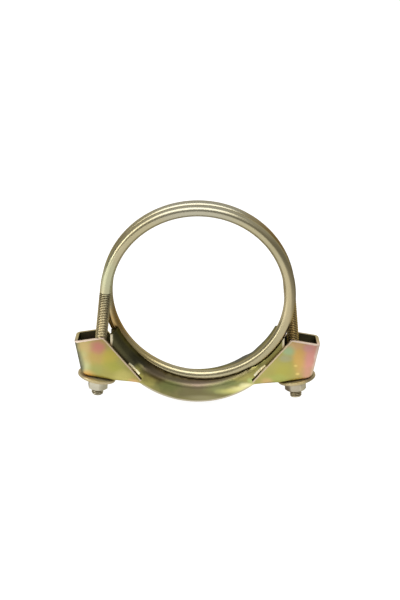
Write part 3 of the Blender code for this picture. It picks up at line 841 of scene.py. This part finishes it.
@dataclass
class RodLoop:
    """The bent rod, with a rolled thread on both legs.

    Attributes:
        diameter: Thickness of the rod.
        half_width: Half the loop's width, to the rod's middle.
        half_height: Half the loop's height, to the rod's middle.
        turn_spacing: Distance between the two turns along the hose.
        crossing_start: Angle below the horizontal where the rod starts to change turns.
        crossing_end: Angle where it has changed.
        upper_lean: Lean of a leg above its bend.
        lower_lean: Lean of a leg below its bend.
        bend_top: Height where the bend begins.
        bend_length: Length of the bend.
        depth_lean: Lean of a leg along the hose.
        depth_ease: Height over which that lean sets in.
        end_chamfer: Chamfer of the rod's ends.
        thread_top: Height where the thread ends.
        thread_runout: Length over which it fades at both ends.
        pitch: Pitch of the thread.
        thread_depth: Depth of the thread.
        crest: Share of that depth by which the crests stand out of the rod.
        flank: Where the side of the groove begins within a turn, and how steep it is.
        root: The same for the painted shade at the bottom of the thread's grooves.
        steps_per_turn: Points along a leg in each turn of the thread.
        loop_step: Distance between points along the loop.
        sides: Points round the rod.
        sharp: Edges with a sharper turn than this stay sharp.
        end: Height of the rod's ends, from the frame.
    """

    diameter: float = 8.0 * MM
    half_width: float = 63.2 * MM
    half_height: float = 60.4 * MM
    turn_spacing: float = 12.0 * MM
    crossing_start: float = math.radians(20.0)
    crossing_end: float = math.radians(160.0)
    upper_lean: float = math.radians(6.0)
    lower_lean: float = math.radians(4.65)
    bend_top: float = -22.0 * MM
    bend_length: float = 10.0 * MM
    depth_lean: float = math.radians(4.55)
    depth_ease: float = 11.0 * MM
    end_chamfer: float = 0.6 * MM
    thread_top: float = 2.4 * MM
    thread_runout: float = 1.6 * MM
    pitch: float = 1.25 * MM
    thread_depth: float = 0.62 * MM
    crest: float = 0.32
    flank: tuple[float, float] = (0.07, 2.8)
    root: tuple[float, float] = (0.14, 4.5)
    steps_per_turn: int = 10
    loop_step: float = 1.0 * MM
    sides: int = 44
    sharp: float = math.radians(60.0)
    end: float = field(init=False)

    def __post_init__(self) -> None:
        """Reads the height of the rod's ends from the frame."""
        slant = math.sin(self.leg_direction(Side.LEFT).angle(Vector((0.0, 0.0, 1.0))))
        radius = self.diameter / 2 - self.end_chamfer
        self.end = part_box("wire_loop")[0].z + radius * slant

    def turn_depth(self, angle: float) -> float:
        """Depth of the rod on the loop.

        Args:
            angle: Angle below the horizontal, from the right.

        Returns:
            Its place along Y.
        """
        share = (angle - self.crossing_start) / (self.crossing_end - self.crossing_start)
        return self.turn_spacing * (smooth_step(share) - 0.5)

    def loop_point(self, angle: float) -> Vector:
        """Middle of the rod on the loop.

        Args:
            angle: Angle below the horizontal, from the right.

        Returns:
            The point.
        """
        return Vector((self.half_width * math.cos(angle), self.turn_depth(angle),
                       -self.half_height * math.sin(angle)))

    def leg_start(self) -> float:
        """Where a leg leaves the loop.

        Returns:
            The angle above the horizontal.
        """
        return math.atan(self.half_height / self.half_width * math.tan(self.upper_lean))

    def leg_point(self, height: float, side: Side) -> Vector:
        """Middle of the rod on one leg.

        Args:
            height: Height above the loop's centre.
            side: Which leg.

        Returns:
            The point, in front on the left leg and behind on the right one.
        """
        start = self.leg_start()
        top = self.half_height * math.sin(start)
        out = self.half_width * math.cos(start) + math.tan(self.upper_lean) * (top - height)
        more = math.tan(self.lower_lean) - math.tan(self.upper_lean)
        out += more * self.bend_length * eased_run((self.bend_top - height) / self.bend_length)
        depth = self.turn_spacing / 2
        depth -= (math.tan(self.depth_lean) * self.depth_ease
                  * eased_run((top - height) / self.depth_ease))
        return Vector((side.value * out, side.value * depth, height))

    def leg_direction(self, side: Side) -> Vector:
        """Direction of the straight lower part of a leg.

        Args:
            side: Which leg.

        Returns:
            A unit vector up the leg.
        """
        low = self.leg_point(-self.half_height - self.bend_length, side)
        return (self.leg_point(-self.half_height, side) - low).normalized()

    def _leg_heights(self) -> list[float]:
        """Heights of the points on a leg.

        Returns:
            The heights from the rod's end up to the loop.
        """
        top = self.half_height * math.sin(self.leg_start())
        start = self.end + self.end_chamfer
        count = round((top - start) / (self.pitch / self.steps_per_turn))
        return [start + (top - start) * i / count for i in range(count)]

    def _thread_share(self, height: float) -> float:
        """How deep the thread is cut.

        Args:
            height: Height on a leg.

        Returns:
            A share from 0 to 1.
        """
        above_end = smooth_step((height - self.end) / self.thread_runout)
        return above_end * smooth_step((self.thread_top - height) / self.thread_runout)

    def centre_line(self) -> bpy.types.Mesh:
        """The rod's middle, with its radius and thread at each point.

        Returns:
            A chain of edges.
        """
        start = self.leg_start()
        first, last = start - math.pi, 2.0 * math.pi - start
        count = round((last - first) * self.half_width / self.loop_step)
        heights = self._leg_heights()
        radius = self.diameter / 2
        left = [(self.leg_point(h, Side.LEFT), radius, self._thread_share(h)) for h in heights]
        right = [(self.leg_point(h, Side.RIGHT), radius, self._thread_share(h))
                 for h in reversed(heights)]
        loop = [(self.loop_point(first + (last - first) * i / count), radius, 0.0)
                for i in range(count + 1)]
        tip = radius - self.end_chamfer
        low_left = (left[0][0] - self.leg_direction(Side.LEFT) * self.end_chamfer, tip, 0.0)
        low_right = (right[-1][0] - self.leg_direction(Side.RIGHT) * self.end_chamfer, tip, 0.0)
        points = [low_left] + left + loop + right + [low_right]
        mesh = bpy.data.meshes.new("rod_line")
        edges = [(i, i + 1) for i in range(len(points) - 1)]
        mesh.from_pydata([p[0] for p in points], edges, [])
        for name, column in (("size", 1), ("thread", 2)):
            layer = mesh.attributes.new(name, "FLOAT", "POINT")
            layer.data.foreach_set("value", [p[column] for p in points])
        return mesh

    def skin_tree(self) -> bpy.types.NodeTree:
        """Geometry nodes that wrap the centre line in a round rod and roll the thread.

        Returns:
            The tree.
        """
        pen, (centre, pitch, thread_depth, sides, finish) = new_group(
            "threaded_rod",
            {"Geometry": "Geometry", "Pitch": "Float", "Thread Depth": "Float",
             "Sides": "Int", "Finish": "Material"},
            {"Geometry": "Geometry"}, "GeometryNodeTree")

        def store(geometry: bpy.types.NodeSocket, name: str, kind: str,
                  value: bpy.types.NodeSocket) -> bpy.types.NodeSocket:
            """Stores a value on every point.

            Args:
                geometry: What it is stored on.
                name: Its name.
                kind: Its kind.
                value: The value.

            Returns:
                The geometry.
            """
            return pen.through("GeometryNodeStoreNamedAttribute",
                               {"Name": name, "Geometry": geometry, "Value": value},
                               data_type=kind)

        def named(name: str, kind: str = "FLOAT") -> bpy.types.NodeSocket:
            """Reads a stored value.

            Args:
                name: Its name.
                kind: Its kind.

            Returns:
                The value.
            """
            return pen.through("GeometryNodeInputNamedAttribute", {"Name": name},
                               data_type=kind)

        def rise(value: bpy.types.NodeSocket, start: float,
                 slope: float) -> bpy.types.NodeSocket:
            """Straight rise from 0 to 1.

            Args:
                value: What rises.
                start: Where it leaves 0.
                slope: How steep it is.

            Returns:
                The result.
            """
            return pen.maths("MULTIPLY", pen.maths("SUBTRACT", value, start), slope, True)

        rail = pen.through("GeometryNodeMeshToCurve", {"Mesh": centre})
        run = pen.node("GeometryNodeSplineParameter").outputs["Length"]
        spot = pen.node("GeometryNodeInputPosition").outputs["Position"]
        line = store(rail, "along", "FLOAT", run)
        line = store(line, "middle", "FLOAT_VECTOR", spot)
        ring = pen.through("GeometryNodeCurvePrimitiveCircle",
                           {"Radius": 1.0, "Resolution": sides})
        around = pen.node("GeometryNodeSplineParameter").outputs["Factor"]
        skin = pen.through("GeometryNodeCurveToMesh", {
            "Curve": line, "Profile Curve": store(ring, "turn", "FLOAT", around),
            "Scale": named("size"), "Fill Caps": True})

        turns = pen.maths("DIVIDE", named("along"), pitch)
        wave = pen.maths("PINGPONG", pen.maths("SUBTRACT", turns, named("turn")), 0.5)
        raised = pen.maths("SUBTRACT", rise(wave, *self.flank), self.crest)
        cut = pen.maths("MULTIPLY", pen.maths("MULTIPLY", raised, named("thread")),
                        thread_depth)
        outwards = pen.vector("SUBTRACT", spot, named("middle", "FLOAT_VECTOR"))
        inwards = pen.vector("SCALE", pen.vector("NORMALIZE", outwards),
                             scale=pen.maths("MULTIPLY", cut, -1.0))
        shaped = pen.through("GeometryNodeSetPosition", {"Geometry": skin, "Offset": inwards})

        # Painted shade in the thread's grooves: a share that the finish turns into a darker
        # colour.
        groove = pen.maths("MULTIPLY", rise(wave, *self.root), named("thread"))
        shaped = store(shaped, "root", "FLOAT", groove)
        shaped = pen.through("GeometryNodeSetShadeSmooth", {"Geometry": shaped})
        shaped = pen.through("GeometryNodeRealizeInstances", {"Geometry": shaped})
        shaped = pen.through("GeometryNodeSetMaterial", {"Geometry": shaped,
                                                         "Material": finish})
        pen.give({"Geometry": shaped})
        return pen.tree

    def build(self, finish: bpy.types.Material) -> bpy.types.Object:
        """Makes the threaded rod as one closed mesh.

        Args:
            finish: Its material.

        Returns:
            The rod, which stands for the frame's wire_loop.
        """
        source = add_object("rod_source", self.centre_line())
        skin = source.modifiers.new("skin", "NODES")
        skin.node_group = self.skin_tree()
        values = {"Pitch": self.pitch, "Thread Depth": self.thread_depth,
                  "Sides": self.sides, "Finish": finish}
        for item in skin.node_group.interface.items_tree:
            if item.in_out == "INPUT" and item.name in values:
                skin[item.identifier] = values[item.name]
        bpy.context.view_layer.update()
        shaped = source.evaluated_get(bpy.context.evaluated_depsgraph_get())
        mesh = bpy.data.meshes.new_from_object(shaped)
        bpy.data.objects.remove(source)
        mesh.name = "threaded_rod"
        rod = add_object("threaded_rod", mesh)
        tidy_mesh(mesh)
        mesh.shade_smooth()
        mesh.set_sharp_from_angle(angle=self.sharp)
        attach(rod, "rod")
        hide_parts("wire_loop")
        return rod


def tidy_mesh(mesh: bpy.types.Mesh, distance: float = 0.000001) -> None:
    """Merges doubled points and turns all faces outwards.

    Args:
        mesh: The mesh to tidy.
        distance: Points nearer than this are merged.
    """
    body = bmesh.new()
    body.from_mesh(mesh)
    bmesh.ops.remove_doubles(body, verts=body.verts, dist=distance)
    bmesh.ops.recalc_face_normals(body, faces=body.faces)
    body.to_mesh(mesh)
    body.free()


# Stamped and turned pieces

@dataclass
class SoftEdged:
    """A piece of the frame with its sharp edges rounded a little.

    Attributes:
        node: The frame's node that it stands for.
        body: The body that it rides.
        slot: Name of its material slot; not used.
        width: Width of the rounding.
        sharp: Edges with a sharper turn than this are rounded.
        segments: Steps of the rounding.
        merged: Points nearer than this are merged.
        flat: Faces with a smaller turn between them are joined.
        creased: Edges with a sharper turn than this are shaded as edges.
    """

    node: str
    body: str
    slot: str
    width: float = 0.3 * MM
    sharp: float = math.radians(32.0)
    segments: int = 2
    merged: float = 0.002 * MM
    flat: float = math.radians(0.4)
    creased: float = math.radians(50.0)

    def shaped(self, body: bmesh.types.BMesh) -> None:
        """Joins the flat faces and rounds the sharp edges.

        Args:
            body: The shape, which is changed.
        """
        bmesh.ops.remove_doubles(body, verts=body.verts, dist=self.merged)
        bmesh.ops.dissolve_limit(body, angle_limit=self.flat, verts=body.verts,
                                 edges=body.edges)
        bmesh.ops.recalc_face_normals(body, faces=body.faces)
        edges = [edge for edge in body.edges
                 if edge.is_manifold and edge.calc_face_angle(0.0) > self.sharp]
        bmesh.ops.bevel(body, geom=edges, offset=self.width, segments=self.segments,
                        affect="EDGES", profile=0.5, clamp_overlap=True)

    def mark(self, mesh: bpy.types.Mesh) -> None:
        """Marks what the finish paints in another colour; here nothing.

        Args:
            mesh: The piece's mesh.
        """

    def build(self, source: bpy.types.Object, finish: bpy.types.Material) -> bpy.types.Object:
        """Makes the piece from the frame's own shape.

        Args:
            source: The frame's node.
            finish: Its material.

        Returns:
            The piece, which stands for the node.
        """
        body = bmesh.new()
        body.from_mesh(source.data)
        body.transform(source.matrix_world)
        self.shaped(body)
        mesh = bpy.data.meshes.new(f"{self.node}_piece")
        body.to_mesh(mesh)
        body.free()
        mesh.materials.clear()
        mesh.materials.append(finish)
        mesh.shade_smooth()
        mesh.set_sharp_from_angle(angle=self.creased)
        self.mark(mesh)
        piece = add_object(f"{self.node}_piece", mesh)
        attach(piece, self.body)
        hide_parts(self.node)
        return piece


@dataclass
class StampedSaddle(SoftEdged):
    """The saddle, with its cut edges marked for bare metal with a painted highlight, and its
    inner faces marked for painted shade.

    Attributes:
        crown: Half width and half height of the crown's curve.
        slot_angle: Where the slots begin, from the crown's lowest point.
        flange: Height of the flange at the middle and at the slots.
        edges: Cut edges of the ears and tongues, as lines from one (x, z) to another.
        reach: How near a face is to a cut edge to be part of it.
        overrun: Share of a cut edge's length that it may run on at its ends.
        ear_start: Distance of the ears' pockets from the middle.
        ear_inside: Half depth of the pockets.
        tongue_inside: Half depth of the tongues.
        tongue_height: Height of the shaded part of the tongues above the crown.
        tongue_fade: Angle where the painted shade on the tongues sets in, and over how much of
            it.
        dark: Share of painted shade inside the ears and on the left tongue.
        lit: Share of painted shade on the right tongue, which is less shaded.
        land: Share of painted shade on the land behind the rod, in the middle.
        front: Cut edges nearer than this get the full painted highlight.
        slant: Lowest and highest place of the slanted front edges.
        slant_end: Where they end, from the middle.
    """

    crown: tuple[float, float] = (62.6 * MM, 59.8 * MM)
    slot_angle: float = math.radians(31.6)
    flange: tuple[float, float] = (16.6 * MM, 13.8 * MM)
    edges: tuple[tuple[float, float, float, float], ...] = (
        (64.89, -29.90, 85.11, -33.25), (38.68, -60.93, 64.89, -29.90),
        (37.87, -59.55, 60.24, -38.50))
    reach: float = 0.4 * MM
    overrun: float = 0.03
    ear_start: float = 59.0 * MM
    ear_inside: float = 8.4 * MM
    tongue_inside: float = 8.1 * MM
    tongue_height: float = 13.0 * MM
    tongue_fade: tuple[float, float] = (0.40, 0.25)
    dark: float = 0.9
    lit: float = 0.5
    land: float = 0.3
    front: float = -8.0 * MM
    slant: tuple[float, float] = (-61.0 * MM, -31.0 * MM)
    slant_end: float = 64.5 * MM

    def depth(self, middle: Vector) -> tuple[float, float]:
        """Where a point lies against the crown.

        Args:
            middle: The point.

        Returns:
            Its angle from the crown's lowest point, and its distance out from the crown.
        """
        wide, high = self.crown
        angle = math.atan2(abs(middle.x) / wide, -middle.z / high)
        foot = Vector((wide * math.sin(angle), -high * math.cos(angle)))
        place = Vector((abs(middle.x), middle.z))
        return angle, (place - foot).length * math.copysign(1.0, place.length - foot.length)

    def is_cut(self, middle: Vector, normal: Vector) -> bool:
        """Whether a face lies on a cut edge of the sheet.

        Args:
            middle: The face's middle.
            normal: The face's normal.

        Returns:
            True on a cut edge.
        """
        if abs(normal.y) > 0.9:
            return False
        angle, depth = self.depth(middle)
        share = (angle / self.slot_angle) ** 2
        rim = self.flange[0] + (self.flange[1] - self.flange[0]) * share
        if angle < self.slot_angle and abs(depth - rim) < self.reach:
            return True
        place = Vector((abs(middle.x), middle.z))
        for numbers in self.edges:
            start, end = Vector(numbers[:2]) * MM, Vector(numbers[2:]) * MM
            way = end - start
            run = (place - start).dot(way) / way.length_squared
            off = (place - start - way * run).length
            if -self.overrun < run < 1.0 + self.overrun and off < self.reach:
                return True
        return False

    def painted_shade_share(self, place: Vector, normal: Vector) -> float:
        """How much painted shade the sheet gets inside the ears, on the tongues and on the back
        land.

        Args:
            place: A corner of a face.
            normal: The face's normal.

        Returns:
            A share from 0 to 1.
        """
        angle, depth = self.depth(place)
        right = place.x > 0.0
        inward = normal.y * place.y < 0.0 or normal.x * place.x < -0.0005 or normal.z > 0.4
        if abs(place.x) > self.ear_start and abs(place.y) < self.ear_inside and inward:
            return self.dark
        on_tongue = abs(place.y) < self.tongue_inside and depth < self.tongue_height
        if on_tongue and not (right and place.y > 0.0):
            start, length = self.tongue_fade
            return (self.lit if right else self.dark) * smooth_step((angle - start) / length)
        if place.y > 1.0 * MM and depth < 3.0 * MM:
            return min(self.land, max(0.0, self.land + place.x / (50.0 * MM)))
        return 0.0

    def bare_metal_and_highlight(self, middle: Vector) -> float:
        """How strongly a cut edge shows bare metal with a painted highlight: full on the front
        edges, little at the back.

        Args:
            middle: Middle of the edge's face.

        Returns:
            A share from 0 to 1.
        """
        at_back, at_side, on_slant, full_highlight = 0.15, 0.35, 0.45, 1.0
        if middle.y > self.front:
            return at_back if middle.y > -self.front else at_side
        low, high = self.slant
        slanted = low < middle.z < high and abs(middle.x) < self.slant_end
        return on_slant if slanted else full_highlight

    def mark(self, mesh: bpy.types.Mesh) -> None:
        """Marks the cut edges as the rim, with its painted highlight, and the faces that get
        painted shade.

        Args:
            mesh: The saddle's mesh.
        """
        rim = mesh.attributes.new("rim", "FLOAT", "FACE")
        # Painted shade on inner faces: a share for each corner that the finish turns into a
        # darker colour.
        painted_shade = mesh.attributes.new("painted_shade", "FLOAT", "CORNER")
        for face in mesh.polygons:
            cut = self.is_cut(face.center, face.normal)
            rim.data[face.index].value = self.bare_metal_and_highlight(face.center) * float(cut)
            for corner in face.loop_indices:
                place = mesh.vertices[mesh.loops[corner].vertex_index].co
                painted_shade.data[corner].value = 0.0 if cut else self.painted_shade_share(place, face.normal)


# Studio

@dataclass
class Studio:
    """Floor, sky, lamps and camera.

    Attributes:
        elevation: How far the camera looks down.
        roll: How far it is turned about its own axis.
        distance: Its distance from the loop's centre.
        focal_pixels: Its focal length, in pixels of the picture.
        picture: Width and height of the picture, in pixels.
        loop_centre: Where the loop's centre is in the picture.
        sensor: Height of its sensor, in millimetres.
        nearest: Nearest distance that it sees.
        floor_size: Side of the floor.
        floor_room: Room between floor and clamp, for the saddle's travel.
        floor_glow: How strongly the floor shines for the camera and in the metal.
        floor_fall: How much darker its mirror image is under and behind the clamp.
    """

    elevation: float = math.radians(18.0)
    roll: float = math.radians(0.8)
    distance: float = 0.9
    focal_pixels: float = 1304.3
    picture: tuple[int, int] = (400, 600)
    loop_centre: tuple[float, float] = (198.0, 293.35)
    sensor: float = 36.0
    nearest: float = 0.01
    floor_size: float = 14.0
    floor_room: float = 4.0 * MM
    floor_glow: float = 0.95
    floor_fall: float = 0.42

    def camera(self) -> bpy.types.Object:
        """Sets up the camera at the photograph's angle.

        Returns:
            The camera.
        """
        forward = Vector((0.0, math.cos(self.elevation), -math.sin(self.elevation)))
        right = Vector((1.0, 0.0, 0.0))
        up = right.cross(forward)
        tilted_right = right * math.cos(self.roll) + up * math.sin(self.roll)
        tilted_up = up * math.cos(self.roll) - right * math.sin(self.roll)
        data = bpy.data.cameras.new("camera")
        width, height = self.picture
        data.sensor_fit = "VERTICAL"
        data.sensor_height = self.sensor
        data.lens = self.focal_pixels / height * self.sensor
        data.shift_x = (width / 2 - self.loop_centre[0]) / height
        data.shift_y = (self.loop_centre[1] - height / 2) / height
        data.clip_start = self.nearest
        camera = add_object("camera", data)
        turn = Matrix((tilted_right, tilted_up, -forward)).transposed().to_4x4()
        camera.matrix_world = Matrix.Translation(-forward * self.distance) @ turn
        bpy.context.scene.camera = camera
        return camera

    def floor(self, height: float) -> bpy.types.Object:
        """A pale floor that keeps the object's shadow.

        Args:
            height: Its height.

        Returns:
            The floor.
        """
        half = self.floor_size / 2
        mesh = bpy.data.meshes.new("floor")
        corners = [(-half, -half, height), (half, -half, height), (half, half, height),
                   (-half, half, height)]
        mesh.from_pydata(corners, [], [(0, 1, 2, 3)])
        floor = add_object("floor", mesh)
        material = bpy.data.materials.new("floor")
        material.use_nodes = True
        pen = NodePen(material.node_tree)
        shader = pen.tree.nodes["Principled BSDF"]
        pen.feed_all(shader, {"Base Color": (0.24, 0.24, 0.24), "Roughness": 0.9})
        path = pen.node("ShaderNodeLightPath").outputs
        seen = pen.maths("ADD", path["Is Camera Ray"], path["Is Glossy Ray"])
        seen = pen.maths("ADD", seen, path["Is Transmission Ray"], True)
        across, along, _ = pen.split(pen.node("ShaderNodeTexCoord").outputs["Object"])
        shade_start, shade_slope = 0.06, 12.0
        under = pen.maths("MULTIPLY", pen.maths("ADD", along, shade_start), shade_slope, True)
        mirrored = pen.maths("SUBTRACT", 1.0, path["Is Camera Ray"])
        fall = pen.maths("MULTIPLY", pen.maths("MULTIPLY", under, mirrored), self.floor_fall)
        level = pen.maths("MULTIPLY", pen.maths("SUBTRACT", 1.0, fall), self.floor_glow)
        tone = pen.ramp(pen.maths("ADD", across, 0.5, True), [
            (0.0, (1.5, 1.5, 1.5)), (0.26, (1.7, 1.7, 1.7)), (0.36, (1.0, 1.0, 1.0)),
            (0.64, (1.0, 1.0, 1.0)), (0.72, (0.30, 0.29, 0.27)), (1.0, (0.2, 0.2, 0.2))])
        glow = pen.through("ShaderNodeEmission", {
            "Strength": pen.maths("MULTIPLY", seen, level),
            "Color": pen.mix(path["Is Camera Ray"], tone, (1.0, 1.0, 1.0))})
        both = pen.node("ShaderNodeAddShader")
        pen.feed(both.inputs[0], shader.outputs[0])
        pen.feed(both.inputs[1], glow)
        pen.feed(pen.tree.nodes["Material Output"].inputs["Surface"], both.outputs[0])
        mesh.materials.append(material)
        floor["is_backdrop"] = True
        return floor

    def sky(self) -> None:
        """Soft light from all round: white above and behind, dimmer on the viewer's side."""
        world = bpy.data.worlds.new("studio")
        world.use_nodes = True
        bpy.context.scene.world = world
        pen = NodePen(world.node_tree)
        _, along, up = pen.split(pen.node("ShaderNodeTexCoord").outputs["Generated"])
        height = pen.maths("MULTIPLY", pen.maths("ADD", up, 1.0), 0.5)
        above = pen.ramp(height, [
            (0.0, (0.45, 0.45, 0.45)), (0.50, (0.31, 0.30, 0.27)), (0.66, (0.34, 0.33, 0.31)),
            (0.80, (0.56, 0.56, 0.56)), (1.0, (0.65, 0.65, 0.65))])
        back_start, back_slope = 0.25, 2.2
        behind = pen.maths("MULTIPLY", pen.maths("ADD", along, -back_start), back_slope, True)
        around = pen.mix(behind, above, (0.9, 0.9, 0.9))
        camera_ray = pen.node("ShaderNodeLightPath").outputs["Is Camera Ray"]
        pen.feed_all(pen.tree.nodes["Background"], {
            "Color": pen.mix(camera_ray, around, (1.0, 1.0, 1.0)), "Strength": 1.0})

    def lamp(self, name: str, place: tuple[float, float, float], size: tuple[float, float],
             power: float) -> bpy.types.Object:
        """A rectangular soft lamp that faces the loop's centre.

        Args:
            name: Its name.
            place: Its place.
            size: Its width and height.
            power: Its power, in watts.

        Returns:
            The lamp.
        """
        data = bpy.data.lights.new(name, "AREA")
        data.shape = "RECTANGLE"
        data.size, data.size_y = size
        data.energy = power
        lamp = add_object(name, data)
        lamp.location = place
        lamp.rotation_euler = (-Vector(place)).to_track_quat("-Z", "Y").to_euler()
        return lamp

    def build(self) -> None:
        """Sets up the whole studio."""
        self.camera()
        self.floor(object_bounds()[0].z - self.floor_room)
        self.sky()
        self.lamp("key_lamp", (-0.15, -0.7, 1.2), (1.6, 0.75), 10.5)
        self.lamp("side_lamp", (-1.1, -0.7, 0.5), (0.35, 1.0), 5.0)
        bpy.context.scene.view_settings.view_transform = "Standard"


def main() -> None:
    """Builds the clamp's looks around the frame and sets up the studio."""
    logging.basicConfig(level=logging.INFO, format="%(message)s")
    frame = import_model()
    shop = FinishShop()
    studio = Studio()
    studio.build()

    rod = RodLoop().build(shop.material(ROD_ZINC))
    LOG.info("rod: %d faces", len(rod.data.polygons))
    pieces = [
        (StampedSaddle("saddle", "saddle_body", "sheet_zinc", width=0.4 * MM), SHEET_ZINC),
        (SoftEdged("washer_left", "left_washer", "washer_zinc", width=0.55 * MM), WASHER_ZINC),
        (SoftEdged("washer_right", "right_washer", "washer_zinc", width=0.55 * MM), WASHER_ZINC),
        (SoftEdged("nut_left", "left_nut", "nut_zinc", width=0.35 * MM), NUT_ZINC),
        (SoftEdged("nut_right", "right_nut", "nut_zinc", width=0.35 * MM), NUT_ZINC),
    ]
    for piece, finish in pieces:
        made = piece.build(frame["nodes"][piece.node], shop.material(finish))
        LOG.info("%s: %d faces", made.name, len(made.data.polygons))


if __name__ == "__main__":
    main()
